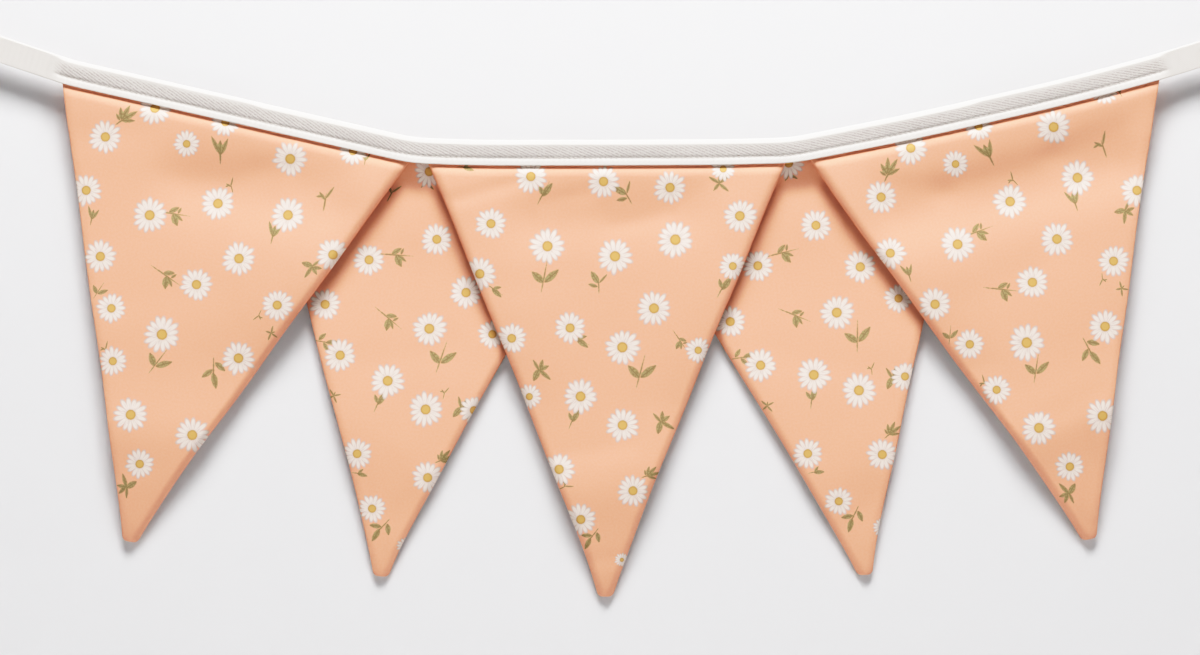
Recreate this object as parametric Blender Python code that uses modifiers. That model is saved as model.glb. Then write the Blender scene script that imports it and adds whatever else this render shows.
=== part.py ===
"""Fabric bunting: five sewn cloth pennants held in a folded cotton tape that hangs in a shallow swag.

Metres, +Z up, +X to the right as seen from the front, and the front faces -Y.
The origin is on the top fold of the tape, at the lowest point of the swag.
"""
import math
from collections import namedtuple

import bmesh
import bpy

MM = 0.001

# Tape: one strip folded lengthwise over the pennants and sewn shut
TAPE_WIDTH = 12.5 * MM          # folded width, from the top fold to the lower edge
TAPE_WALL = 1.0 * MM
TAPE_REACH_LEFT = 318.0 * MM    # length of tape to the left of the lowest point
TAPE_REACH_RIGHT = 318.0 * MM
END_GAP = 0.4 * MM              # between the two walls where no pennant lies between them
OPENING_LENGTH = 10.0 * MM      # the walls part over this length
OPENING_MARGIN = 1.0 * MM       # and are fully parted this far before a pennant
TAPE_STEP = 6.5 * MM            # spacing of the cross-sections along the tape
FOLD_STEPS = 4                  # faces round the top fold
WALL_STEPS = 2                  # faces down each wall

# Direction in which the tape runs, read between these places along it
Bend = namedtuple("Bend", "along_mm heading_deg")
SWAG = (
    Bend(-345, -18.5),
    Bend(-268, -18.5),
    Bend(-255, -12.8),
    Bend(-101, -12.8),
    Bend(-80, -2.0),
    Bend(-40, 0.0),
    Bend(40, 0.3),
    Bend(82, 1.5),
    Bend(104, 11.0),
    Bend(200, 12.9),
    Bend(262, 15.0),
    Bend(285, 17.0),
    Bend(345, 17.0),
)
PATH_STEP = 0.5 * MM            # step of the sum that turns headings into places

# Pennants: two triangles sewn face to face, turned out and pressed
CLOTH_AT_TAPE = 1.2 * MM        # thickness inside the tape
CLOTH_BODY = 2.0 * MM           # thickness of the two layers in the open
CLOTH_RIM = 1.3 * MM            # thickness at the turned seam
CLOTH_GAP = 0.3 * MM            # between cloth and cloth inside the tape
SEAM_ALLOWANCE = 9.5 * MM       # how far a pennant reaches up into the tape
RIM_ROUND = 0.35 * MM           # rounding of a pennant's rim
COLUMNS = 12
RIM_COLUMNS = 1.5               # columns over which the turned seam thickens to the body
ROWS_IN_TAPE = (-SEAM_ALLOWANCE, -SEAM_ALLOWANCE / 2, 0.0)
BODY_ROWS = 19
TIP_ROWS = (0.45, 0.75, 1.0)    # down the rounded tip, as shares of its height
LOW_HALF_WIDTH = 1.3 * MM       # half the width to which the straight sides would narrow at the tip
TIP_FLARE = 2.3 * MM            # how much further the blunt tip reaches to each side
FLARE_POWER = 12                # how near the tip that starts
TIP_ROUND = 2.2 * MM            # height over which the blunt tip is rounded
TIP_CORNER = 0.5                # share of the tip's width that its lowest row keeps
BOW_SCALE = 6.75                # makes a side edge's bow 1 where it is widest, a third of the way down
STAND_DOWN = 45.0 * MM          # below the tape the cloth stands off most here
REST_FROM = 0.2                 # from this share of its drop it settles back
REST_SPAN = 0.5
EDGE_SPAN = 0.55                # the side edges stand off further over this share of the drop
CURL_POWER = 14                 # how sharply the tip curls back

# left, right: ends of the top edge along the tape; tip: along the top chord and down from it
Pennant = namedtuple("Pennant", "layer left_mm right_mm tip_along_mm drop_mm bow_left_mm bow_right_mm")
PENNANTS = {
    "pennant_1": Pennant("front", -263.6, -91.6, 80.9, 211.8, 0.5, 0.3),
    "pennant_2": Pennant("back", -164.0, 3.0, 80.0, 211.8, 1.0, 0.8),
    "pennant_3": Pennant("front", -83.4, 89.9, 86.3, 212.3, -0.5, -0.5),
    "pennant_4": Pennant("back", 6.0, 177.7, 102.0, 212.7, -0.2, 0.5),
    "pennant_5": Pennant("front", 100.5, 274.8, 92.7, 211.9, 1.2, -0.5),
}

# Main folds: soft ridges (height over 0) and troughs along a line on a pennant.
# across: 0 left edge to 1 right edge; down: 0 at the tape to 1 at the tip; height is towards the front
Fold = namedtuple("Fold", "pennant across_a down_a across_b down_b width_mm height_mm")
FOLDS = (
    Fold("pennant_1", 0.42, 0.16, 0.84, 0.13, 17, -2.8),
    Fold("pennant_1", 0.10, 0.55, 0.85, 0.34, 30, 0.9),
    Fold("pennant_1", 0.00, 0.76, 1.00, 0.73, 20, 2.2),
    Fold("pennant_2", 0.50, 0.30, 0.55, 0.80, 28, -0.6),
    Fold("pennant_2", 0.10, 0.68, 0.90, 0.76, 18, 0.9),
    Fold("pennant_3", 0.27, 0.13, 0.75, 0.11, 14, -1.8),
    Fold("pennant_3", 0.10, 0.76, 0.90, 0.72, 19, 2.2),
    Fold("pennant_4", 0.45, 0.30, 0.50, 0.85, 26, -0.6),
    Fold("pennant_4", 0.10, 0.78, 0.90, 0.72, 16, 0.8),
    Fold("pennant_5", 0.16, 0.17, 0.88, 0.16, 17, -3.6),
    Fold("pennant_5", 0.10, 0.60, 0.75, 0.47, 26, 0.8),
    Fold("pennant_5", 0.00, 0.74, 1.00, 0.70, 18, 2.3),
)

# Depth of each layer's cloth just below the tape, where it stands off most, and where it settles.
# swell: how far below the tape it reaches that first depth and its full thickness
Stand = namedtuple("Stand", "swell_mm lift_mm most_mm rest_mm")
STANDS = {"front": Stand(5.0, -2.4, -1.2, -2.0), "back": Stand(15.0, 5.6, 4.6, -0.2)}

# How each pennant departs from that: at the tip, and at the two halves of the side edges
Hang = namedtuple("Hang", "tip_mm left_mm right_mm")
HANGS = {
    "pennant_1": Hang(4.0, 0.3, -4.0),
    "pennant_2": Hang(2.4, -0.2, 0.4),
    "pennant_3": Hang(4.0, -2.4, -2.6),
    "pennant_4": Hang(2.4, 0.4, -0.2),
    "pennant_5": Hang(4.0, -4.0, 0.3),
}

CLOTH_COLOUR = (0.90, 0.55, 0.36, 1.0)
CLOTH_ROUGHNESS = 0.9
TAPE_COLOUR = (0.86, 0.84, 0.82, 1.0)
TAPE_ROUGHNESS = 0.85


def smooth(value):
    """Eases a share from 0 to 1, held at both ends."""
    held = min(1.0, max(0.0, value))
    return held * held * (3.0 - 2.0 * held)


def heading(along):
    """Direction of the tape at a place along it, in radians."""
    for here, there in zip(SWAG, SWAG[1:]):
        if along <= there.along_mm * MM:
            share = smooth((along / MM - here.along_mm) / (there.along_mm - here.along_mm))
            return math.radians(here.heading_deg + (there.heading_deg - here.heading_deg) * share)
    return math.radians(SWAG[-1].heading_deg)


def walk_swag(reach, side):
    """Places on the top fold at every step from the lowest point towards one side."""
    x = z = 0.0
    places = [(x, z)]
    for step in range(int(reach / PATH_STEP) + 2):
        turn = heading(side * (step + 0.5) * PATH_STEP)
        x += side * PATH_STEP * math.cos(turn)
        z += side * PATH_STEP * math.sin(turn)
        places.append((x, z))
    return places


WALKED = {1: walk_swag(TAPE_REACH_RIGHT, 1), -1: walk_swag(TAPE_REACH_LEFT, -1)}


def top_fold(along):
    """Place (x, z) of the top fold at a distance along the tape."""
    places = WALKED[1 if along >= 0 else -1]
    steps = abs(along) / PATH_STEP
    first = min(int(steps), len(places) - 2)
    share = steps - first
    (x0, z0), (x1, z1) = places[first], places[first + 1]
    return x0 + (x1 - x0) * share, z0 + (z1 - z0) * share


def below_fold(along, distance):
    """Place (x, z) at a distance below the top fold, square to the tape."""
    x, z = top_fold(along)
    turn = heading(along)
    return x + distance * math.sin(turn), z - distance * math.cos(turn)


def layer_share(along, layer):
    """1 where the tape holds a pennant of the layer, easing to 0 where it holds none."""
    lefts = [p.left_mm * MM for p in PENNANTS.values() if p.layer == layer]
    rights = [p.right_mm * MM for p in PENNANTS.values() if p.layer == layer]
    reach = OPENING_MARGIN + OPENING_LENGTH
    rise = smooth((along - min(lefts) + reach) / OPENING_LENGTH)
    fall = smooth((max(rights) - along + reach) / OPENING_LENGTH)
    return min(rise, fall)


def inner_faces(along):
    """Depths of the tape's two inner faces, which open up where a pennant lies between them."""
    packed = CLOTH_GAP * 1.5 + CLOTH_AT_TAPE
    closed = END_GAP / 2
    front = -(closed + (packed - closed) * layer_share(along, "front"))
    back = closed + (packed - closed) * layer_share(along, "back")
    return front, back


def tape_point(along, turn_share):
    """A point of the folded strip's middle surface: 0 is the front lower edge, 1 the back lower edge."""
    front, back = inner_faces(along)
    front -= TAPE_WALL / 2
    back += TAPE_WALL / 2
    radius = (back - front) / 2
    centre = (back + front) / 2
    fold_centre = TAPE_WALL / 2 + radius
    straight = TAPE_WIDTH - fold_centre
    column = turn_share * (2 * WALL_STEPS + FOLD_STEPS)
    if column <= WALL_STEPS:
        down = TAPE_WIDTH - straight * column / WALL_STEPS
        depth = front
    elif column >= WALL_STEPS + FOLD_STEPS:
        down = fold_centre + straight * (column - WALL_STEPS - FOLD_STEPS) / WALL_STEPS
        depth = back
    else:
        angle = math.pi * (column - WALL_STEPS) / FOLD_STEPS
        down = fold_centre - radius * math.sin(angle)
        depth = centre - radius * math.cos(angle)
    x, z = below_fold(along, down)
    return x, depth, z


def distance_to_line(x, y, ax, ay, bx, by):
    """How far a point lies from a stretch of line."""
    run_x, run_y = bx - ax, by - ay
    share = ((x - ax) * run_x + (y - ay) * run_y) / (run_x * run_x + run_y * run_y)
    share = min(1.0, max(0.0, share))
    return math.hypot(x - ax - run_x * share, y - ay - run_y * share)


def fold_depth(name, across, down):
    """Depth that the pennant's folds and its hang add at a place on it."""
    pennant = PENNANTS[name]
    width = (pennant.right_mm - pennant.left_mm) * MM
    drop = pennant.drop_mm * MM

    def flat(a, d):
        """The place on the flat cut, where the triangle narrows towards its tip."""
        return (a - 0.5) * width * (1.0 - d), d * drop

    x, y = flat(across, down)
    depth = 0.0
    for fold in FOLDS:
        if fold.pennant == name:
            line = (*flat(fold.across_a, fold.down_a), *flat(fold.across_b, fold.down_b))
            far = distance_to_line(x, y, *line) / (fold.width_mm * MM)
            depth -= fold.height_mm * MM * math.exp(-far * far)
    hang = HANGS[name]
    stand_off = math.sin(math.pi * min(1.0, down / EDGE_SPAN)) * MM
    depth += hang.tip_mm * MM * down ** CURL_POWER
    depth += hang.left_mm * stand_off * smooth(1.0 - 2.0 * across)
    depth += hang.right_mm * stand_off * smooth(2.0 * across - 1.0)
    return depth


def row_place(row, drop):
    """Distance of a row below the tape's edge, and the share of the full width that it keeps."""
    if row < len(ROWS_IN_TAPE):
        return ROWS_IN_TAPE[row], 1.0
    straight = drop - TIP_ROUND
    body_row = row - len(ROWS_IN_TAPE) + 1
    if body_row <= BODY_ROWS:
        return straight * body_row / BODY_ROWS, 1.0
    share = TIP_ROWS[body_row - BODY_ROWS - 1]
    narrow = TIP_CORNER + (1.0 - TIP_CORNER) * math.sqrt(1.0 - share * share)
    return straight + TIP_ROUND * share, narrow


def place_on_cloth(pennant, across, distance, narrow):
    """Place (x, z) on a pennant below the tape's edge, by its two side edges and the tape above it."""
    left_x, left_z = below_fold(pennant.left_mm * MM, TAPE_WIDTH)
    right_x, right_z = below_fold(pennant.right_mm * MM, TAPE_WIDTH)
    chord = math.hypot(right_x - left_x, right_z - left_z)
    run_x, run_z = (right_x - left_x) / chord, (right_z - left_z) / chord
    down = distance / (pennant.drop_mm * MM)
    tip = pennant.tip_along_mm * MM
    bow = BOW_SCALE * down * (1.0 - down) ** 2 * MM
    half_tip = LOW_HALF_WIDTH * down + TIP_FLARE * max(0.0, down) ** FLARE_POWER
    left = tip * down - half_tip - pennant.bow_left_mm * bow
    right = chord + (tip - chord) * down + half_tip + pennant.bow_right_mm * bow
    middle = (left + right) / 2
    place = middle + (left - middle + (right - left) * across) * narrow
    x = left_x + run_x * place + run_z * distance
    z = left_z + run_z * place - run_x * distance
    # The top edge follows the bent tape, and that bend fades out down the cloth
    along = (pennant.left_mm + (pennant.right_mm - pennant.left_mm) * across) * MM
    edge_x, edge_z = below_fold(along, TAPE_WIDTH)
    fade = (1.0 - down) ** 3
    x += (edge_x - left_x - run_x * chord * across) * fade
    z += (edge_z - left_z - run_z * chord * across) * fade
    return x, z


def pennant_point(name, across, row):
    """A point of the pennant's middle surface, and its thickness there."""
    pennant = PENNANTS[name]
    in_front = pennant.layer == "front"
    depth_at_tape = (-1 if in_front else 1) * (CLOTH_GAP + CLOTH_AT_TAPE) / 2
    drop = pennant.drop_mm * MM
    distance, narrow = row_place(row, drop)
    if row < len(ROWS_IN_TAPE):
        along = (pennant.left_mm + (pennant.right_mm - pennant.left_mm) * across) * MM
        x, z = below_fold(along, TAPE_WIDTH + distance)
        return (x, depth_at_tape, z), CLOTH_AT_TAPE

    x, z = place_on_cloth(pennant, across, distance, narrow)
    stand = STANDS[pennant.layer]
    swell = smooth(distance / (stand.swell_mm * MM))
    settled = stand.lift_mm + (stand.most_mm - stand.lift_mm) * smooth(distance / STAND_DOWN)
    settled += (stand.rest_mm - stand.most_mm) * smooth((distance / drop - REST_FROM) / REST_SPAN)
    hanging = settled * MM + fold_depth(name, across, distance / drop)
    depth = depth_at_tape + (hanging - depth_at_tape) * swell
    inside = smooth(min(across, 1.0 - across) * COLUMNS / RIM_COLUMNS)
    full = CLOTH_RIM + (CLOTH_BODY - CLOTH_RIM) * inside * (narrow == 1.0)
    thickness = CLOTH_AT_TAPE + (full - CLOTH_AT_TAPE) * swell
    return (x, depth, z), thickness


def make_material(name, colour, roughness):
    """A plain cloth material."""
    material = bpy.data.materials.new(name)
    material.use_nodes = True
    shader = material.node_tree.nodes["Principled BSDF"]
    shader.inputs["Base Color"].default_value = colour
    shader.inputs["Roughness"].default_value = roughness
    shader.inputs["Metallic"].default_value = 0.0
    return material


def mapped_grid(columns, rows, place):
    """A grid whose vertices are moved by place(column, row), which also gives a thickness."""
    mesh = bmesh.new()
    bmesh.ops.create_grid(mesh, x_segments=columns, y_segments=rows, size=0.5)
    thicknesses = {}
    for vertex in mesh.verts:
        column = round((vertex.co.x + 0.5) * columns)
        row = round((0.5 - vertex.co.y) * rows)
        vertex.co, thickness = place(column, row)
        thicknesses[vertex.index] = thickness
    return mesh, thicknesses


def sheet_object(name, mesh, thicknesses, material, collection):
    """A sheet with its own thickness at each vertex, as a Solidify modifier."""
    data = bpy.data.meshes.new(name)
    mesh.to_mesh(data)
    mesh.free()
    data.materials.append(material)
    sheet = bpy.data.objects.new(name, data)
    collection.objects.link(sheet)
    thickest = max(thicknesses.values())
    group = sheet.vertex_groups.new(name="thickness")
    for index, thickness in thicknesses.items():
        group.add([index], thickness / thickest, "REPLACE")
    solid = sheet.modifiers.new("layers", "SOLIDIFY")
    solid.thickness = thickest
    solid.offset = 0.0
    solid.use_even_offset = True
    solid.use_quality_normals = True
    solid.vertex_group = group.name
    data.shade_smooth()
    return sheet


def build_pennant(name, collection):
    """One pennant: a mapped grid, given thickness, with a rounded rim."""
    rows = len(ROWS_IN_TAPE) + BODY_ROWS + len(TIP_ROWS) - 1
    mesh, thicknesses = mapped_grid(
        COLUMNS, rows, lambda column, row: pennant_point(name, column / COLUMNS, row)
    )
    material = make_material(name + "_cotton", CLOTH_COLOUR, CLOTH_ROUGHNESS)
    sheet = sheet_object(name, mesh, thicknesses, material, collection)
    rim = sheet.modifiers.new("rim", "BEVEL")
    rim.width = RIM_ROUND
    rim.segments = 1
    rim.limit_method = "ANGLE"
    rim.angle_limit = math.radians(60)
    return sheet


def build_tape(collection):
    """The folded strip: one sheet that goes up the front, over the fold and down the back."""
    columns = 2 * WALL_STEPS + FOLD_STEPS
    length = TAPE_REACH_LEFT + TAPE_REACH_RIGHT
    rows = round(length / TAPE_STEP)

    def place(column, row):
        along = -TAPE_REACH_LEFT + length * row / rows
        return tape_point(along, column / columns), TAPE_WALL

    mesh, thicknesses = mapped_grid(columns, rows, place)
    material = make_material("tape_twill", TAPE_COLOUR, TAPE_ROUGHNESS)
    return sheet_object("tape", mesh, thicknesses, material, collection)


for old in list(bpy.data.objects):
    bpy.data.objects.remove(old, do_unlink=True)
parts = bpy.data.collections.new("fabric bunting")
bpy.context.scene.collection.children.link(parts)
for pennant_name in PENNANTS:
    build_pennant(pennant_name, parts)
build_tape(parts)
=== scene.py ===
"""The fabric bunting dressed: folded white tape, its stitches and five daisy-print pennants.

Metres, +Z up, +X to the right as seen from the front, and the front faces -Y.
"""
import math
import random
from collections import namedtuple

import bpy
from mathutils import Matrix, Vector


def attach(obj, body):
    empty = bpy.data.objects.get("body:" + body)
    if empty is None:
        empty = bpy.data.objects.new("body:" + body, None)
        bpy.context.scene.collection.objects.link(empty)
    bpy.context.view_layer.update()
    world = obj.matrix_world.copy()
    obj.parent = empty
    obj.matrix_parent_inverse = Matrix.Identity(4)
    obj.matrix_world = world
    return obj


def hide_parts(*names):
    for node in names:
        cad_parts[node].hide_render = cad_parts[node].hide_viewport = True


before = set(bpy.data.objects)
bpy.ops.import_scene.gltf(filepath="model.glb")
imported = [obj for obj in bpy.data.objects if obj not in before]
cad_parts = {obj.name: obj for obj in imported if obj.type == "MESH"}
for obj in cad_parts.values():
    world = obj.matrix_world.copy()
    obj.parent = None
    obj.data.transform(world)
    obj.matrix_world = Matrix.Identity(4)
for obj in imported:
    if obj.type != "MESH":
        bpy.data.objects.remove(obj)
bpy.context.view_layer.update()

# The tape
# One strip of white cotton twill, folded lengthwise over the tops of the pennants.
# A straight line of stitches holds the pennants in, and the cloth puffs out into a ridge below it.
MM = 0.001
TAPE_WIDTH = 12.5               # folded width, all sizes in mm
TAPE_WALL = 0.7
TAPE_REACH = 318.0              # to each side of the lowest point of the swag
TAPE_ROW = 0.75                 # spacing of the cross-sections along the tape
END_GAP = 0.4
CLOTH_AT_TAPE = 1.2             # thickness of a pennant inside the tape
CLOTH_GAP = 0.3
OPENING_LENGTH = 10.0           # the walls part over this length
OPENING_MARGIN = 1.0
STITCH_DOWN = 9.0               # from the top fold to the line of stitches
STITCH_PITCH = 2.6
STITCH_LENGTH = 1.9
THREAD_WIDTH = 0.4
THREAD_PROUD = 0.2              # share of its width by which the thread stands proud
STITCH_VARY = (0.9, 1.08)       # the least and the most that a stitch departs in size
BAND_BULGE = 0.85               # how far the band above the stitches puffs out
BAND_LEAN = 0.55                # under 1, the band is fullest above its middle
STITCH_PULL = 0.22              # how far the stitches pull the tape in
STITCH_DIMPLE = 0.40            # and how much further at each stitch
STITCH_NIP = 0.80               # and how far each stitch nips the ridge below it
STITCH_SPREAD = 0.8             # the pull fades out over this distance
RIDGE_FLARE = 0.62              # how far the ridge below the stitches stands out at its lower edge
RIDGE_CURVE = 0.7               # under 1, it rises mostly near the stitches
SAG = 0.12                      # slow unevenness of the band
SAG_LENGTH = 11.0
SEWN_EASE = 7.0                 # length over which ridge and band fade at the free ends
SEWN_MARGIN = 1.0               # the stitches run on this far past the pennants
LIP_DEPTH = 0.15                # how far the rounded lower edge reaches past the wall
LIP_SHARES = (0.3, 0.85)        # its points across the wall's thickness
OUTER_STEPS = 26                # faces down the outside of each wall
FOLD_STEPS = 10                 # faces round the top fold
INNER_STEPS = 6
PATH_STEP = 0.5

# Direction in which the tape runs, read between these places along it
Bend = namedtuple("Bend", "along_mm heading_deg")
SWAG = (
    Bend(-345, -18.5),
    Bend(-268, -18.5),
    Bend(-255, -12.8),
    Bend(-101, -12.8),
    Bend(-80, -2.0),
    Bend(-40, 0.0),
    Bend(40, 0.3),
    Bend(82, 1.5),
    Bend(104, 11.0),
    Bend(200, 12.9),
    Bend(262, 15.0),
    Bend(285, 17.0),
    Bend(345, 17.0),
)

# left, right: ends of the top edge along the tape; tip: along the top chord and down from it
Pennant = namedtuple("Pennant", "layer left_mm right_mm tip_along_mm drop_mm bow_left_mm bow_right_mm")
PENNANTS = {
    "pennant_1": Pennant("front", -263.6, -91.6, 80.9, 211.8, 0.5, 0.3),
    "pennant_2": Pennant("back", -164.0, 3.0, 80.0, 211.8, 1.0, 0.8),
    "pennant_3": Pennant("front", -83.4, 89.9, 86.3, 212.3, -0.5, -0.5),
    "pennant_4": Pennant("back", 6.0, 177.7, 102.0, 212.7, -0.2, 0.5),
    "pennant_5": Pennant("front", 100.5, 274.8, 92.7, 211.9, 1.2, -0.5),
}


def smooth(value):
    """Eases a share from 0 to 1, held at both ends."""
    held = min(1.0, max(0.0, value))
    return held * held * (3.0 - 2.0 * held)


def heading(along):
    """Direction of the tape at a place along it, in radians."""
    for here, there in zip(SWAG, SWAG[1:]):
        if along <= there.along_mm:
            share = smooth((along - here.along_mm) / (there.along_mm - here.along_mm))
            return math.radians(here.heading_deg + (there.heading_deg - here.heading_deg) * share)
    return math.radians(SWAG[-1].heading_deg)


def walk_swag(side):
    """Places on the top fold at every step from the lowest point towards one side."""
    x = z = 0.0
    places = [(x, z)]
    for step in range(int(TAPE_REACH / PATH_STEP) + 2):
        turn = heading(side * (step + 0.5) * PATH_STEP)
        x += side * PATH_STEP * math.cos(turn)
        z += side * PATH_STEP * math.sin(turn)
        places.append((x, z))
    return places


WALKED = {1: walk_swag(1), -1: walk_swag(-1)}


def below_fold(along, distance):
    """Place (x, z) at a distance below the top fold, square to the tape."""
    places = WALKED[1 if along >= 0 else -1]
    steps = abs(along) / PATH_STEP
    first = min(int(steps), len(places) - 2)
    share = steps - first
    (x0, z0), (x1, z1) = places[first], places[first + 1]
    turn = heading(along)
    x = x0 + (x1 - x0) * share + distance * math.sin(turn)
    z = z0 + (z1 - z0) * share - distance * math.cos(turn)
    return x, z


def layer_share(along, layer):
    """1 where the tape holds a pennant of the layer, easing to 0 where it holds none."""
    lefts = [p.left_mm for p in PENNANTS.values() if p.layer == layer]
    rights = [p.right_mm for p in PENNANTS.values() if p.layer == layer]
    reach = OPENING_MARGIN + OPENING_LENGTH
    rise = smooth((along - min(lefts) + reach) / OPENING_LENGTH)
    fall = smooth((max(rights) - along + reach) / OPENING_LENGTH)
    return min(rise, fall)


def sewn_share(along):
    """1 where the tape is sewn over pennants, easing to 0 on its plain free ends."""
    left = PENNANTS["pennant_1"].left_mm
    right = PENNANTS["pennant_5"].right_mm
    rise = smooth((along - left + SEWN_EASE) / SEWN_EASE)
    fall = smooth((right - along + SEWN_EASE) / SEWN_EASE)
    return min(rise, fall)


def tape_relief(along, down):
    """How far the tape puffs out past a flat wall, at a distance below its top fold."""
    band_share = min(1.0, down / STITCH_DOWN)
    band = BAND_BULGE * math.sin(math.pi * band_share ** BAND_LEAN)
    beat = 0.5 + 0.5 * math.cos(2 * math.pi * along / STITCH_PITCH)
    ridge_top = STITCH_DOWN + STITCH_NIP * beat
    climb = max(0.0, (down - ridge_top) / (TAPE_WIDTH - ridge_top))
    ridge = RIDGE_FLARE * climb ** RIDGE_CURVE
    near = math.exp(-(((down - STITCH_DOWN) / STITCH_SPREAD) ** 2))
    pull = near * (STITCH_PULL + STITCH_DIMPLE * beat)
    sag = SAG * math.sin(along / SAG_LENGTH) * math.sin(math.pi * band_share)
    return (band + ridge - pull + sag) * sewn_share(along)


def tape_section(along):
    """The closed outline of the folded strip: points of down, depth and place on the strip."""
    packed = CLOTH_GAP * 1.5 + CLOTH_AT_TAPE
    closed = END_GAP / 2
    front = -(closed + (packed - closed) * layer_share(along, "front"))
    back = closed + (packed - closed) * layer_share(along, "back")
    centre = (front + back) / 2
    inner_radius = (back - front) / 2
    outer_radius = inner_radius + TAPE_WALL
    points = []
    for side in (-1, 1):
        wall = []
        for step in range(OUTER_STEPS + 1):
            share = step / OUTER_STEPS
            down = TAPE_WIDTH + (outer_radius - TAPE_WIDTH) * share
            wall.append((down, centre + side * (outer_radius + tape_relief(along, down)), down))
        flare = outer_radius + tape_relief(along, TAPE_WIDTH) - inner_radius
        for share in reversed(LIP_SHARES):
            lip_depth = centre + side * (inner_radius + flare * share)
            wall.insert(0, (TAPE_WIDTH + LIP_DEPTH, lip_depth, TAPE_WIDTH))
        if side == -1:
            points += wall
            for step in range(1, FOLD_STEPS):
                angle = math.pi * step / FOLD_STEPS
                down = outer_radius - outer_radius * math.sin(angle)
                points.append((down, centre - outer_radius * math.cos(angle), down))
        else:
            points += wall[::-1]
    fold_down = outer_radius
    for side in (1, -1):
        wall = []
        for step in range(INNER_STEPS + 1):
            down = TAPE_WIDTH + (fold_down - TAPE_WIDTH) * step / INNER_STEPS
            wall.append((down, centre + side * inner_radius, down))
        if side == 1:
            points += wall
            for step in range(1, FOLD_STEPS // 2):
                angle = math.pi * step / (FOLD_STEPS // 2)
                down = fold_down - inner_radius * math.sin(angle)
                points.append((down, centre + inner_radius * math.cos(angle), down))
        else:
            points += wall[::-1]
    return points


def new_object(name, vertices, faces):
    """A smooth mesh object from vertices in mm."""
    mesh = bpy.data.meshes.new(name)
    mesh.from_pydata([(x * MM, y * MM, z * MM) for x, y, z in vertices], [], faces)
    mesh.shade_smooth()
    piece = bpy.data.objects.new(name, mesh)
    bpy.context.scene.collection.objects.link(piece)
    return piece


def build_tape():
    """The strip as one closed mesh, with a UV map of millimetres along it and down it."""
    rows = round(2 * TAPE_REACH / TAPE_ROW)
    vertices, strip = [], []
    for row in range(rows + 1):
        along = -TAPE_REACH + 2 * TAPE_REACH * row / rows
        for down, depth, place in tape_section(along):
            x, z = below_fold(along, down)
            vertices.append((x, depth, z))
            strip.append((along, place))
    around = len(vertices) // (rows + 1)
    faces = []
    for row in range(rows):
        for step in range(around):
            a = row * around + step
            b = row * around + (step + 1) % around
            faces.append((a, a + around, b + around, b))
    faces.append(tuple(range(around)))
    faces.append(tuple(range(rows * around + around - 1, rows * around - 1, -1)))
    tape = new_object("tape_twill", vertices, faces)
    layer = tape.data.uv_layers.new(name="strip")
    for corner, loop in zip(layer.data, tape.data.loops):
        corner.uv = strip[loop.vertex_index]
    return tape


class Wiring:
    """Adds nodes to a tree and joins them up. Values may be numbers or sockets."""

    def __init__(self, tree):
        self.tree = tree

    def feed(self, socket, value):
        """Joins a socket to an input, or sets the input to a plain value."""
        if isinstance(value, bpy.types.NodeSocket):
            self.tree.links.new(value, socket)
        else:
            socket.default_value = value

    def add(self, kind, **settings):
        """A node of a kind, with its settings."""
        node = self.tree.nodes.new(kind)
        for key, value in settings.items():
            setattr(node, key, value)
        return node

    def math(self, operation, *values, clamp=False):
        """The result of a Math node."""
        node = self.add("ShaderNodeMath", operation=operation, use_clamp=clamp)
        for socket, value in zip(node.inputs, values):
            self.feed(socket, value)
        return node.outputs[0]

    def ramp(self, value, low, high):
        """0 below low and 1 above high, or the other way round, with a smooth step between."""
        node = self.add("ShaderNodeMapRange", interpolation_type="SMOOTHSTEP")
        self.feed(node.inputs["Value"], value)
        self.feed(node.inputs["From Min"], min(low, high))
        self.feed(node.inputs["From Max"], max(low, high))
        self.feed(node.inputs["To Min"], 0.0 if low < high else 1.0)
        self.feed(node.inputs["To Max"], 1.0 if low < high else 0.0)
        return node.outputs["Result"]

    def mix(self, share, colour, other):
        """One colour laid over another."""
        node = self.add("ShaderNodeMix", data_type="RGBA")
        self.feed(node.inputs["Factor"], share)
        self.feed(node.inputs[6], colour)
        self.feed(node.inputs[7], other)
        return node.outputs[2]

    def split(self, vector):
        """The three parts of a vector."""
        node = self.add("ShaderNodeSeparateXYZ")
        self.feed(node.inputs[0], vector)
        return node.outputs

    def join(self, x, y, z=0.0):
        """A vector of three parts."""
        node = self.add("ShaderNodeCombineXYZ")
        for socket, value in zip(node.inputs, (x, y, z)):
            self.feed(socket, value)
        return node.outputs[0]


def new_group(name, inputs, outputs):
    """A shader node group with named sockets: (name, kind, value) in and (name, kind) out."""
    group = bpy.data.node_groups.new(name, "ShaderNodeTree")
    for socket_name, kind, value in inputs:
        socket = group.interface.new_socket(name=socket_name, in_out="INPUT", socket_type=kind)
        if value is not None:
            socket.default_value = value
    for socket_name, kind in outputs:
        group.interface.new_socket(name=socket_name, in_out="OUTPUT", socket_type=kind)
    wire = Wiring(group)
    return group, wire, wire.add("NodeGroupInput").outputs, wire.add("NodeGroupOutput").inputs


def linear(red, green, blue):
    """A colour from its display values of 0 to 255."""
    return tuple(((value / 255 + 0.055) / 1.055) ** 2.4 for value in (red, green, blue)) + (1.0,)


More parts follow.
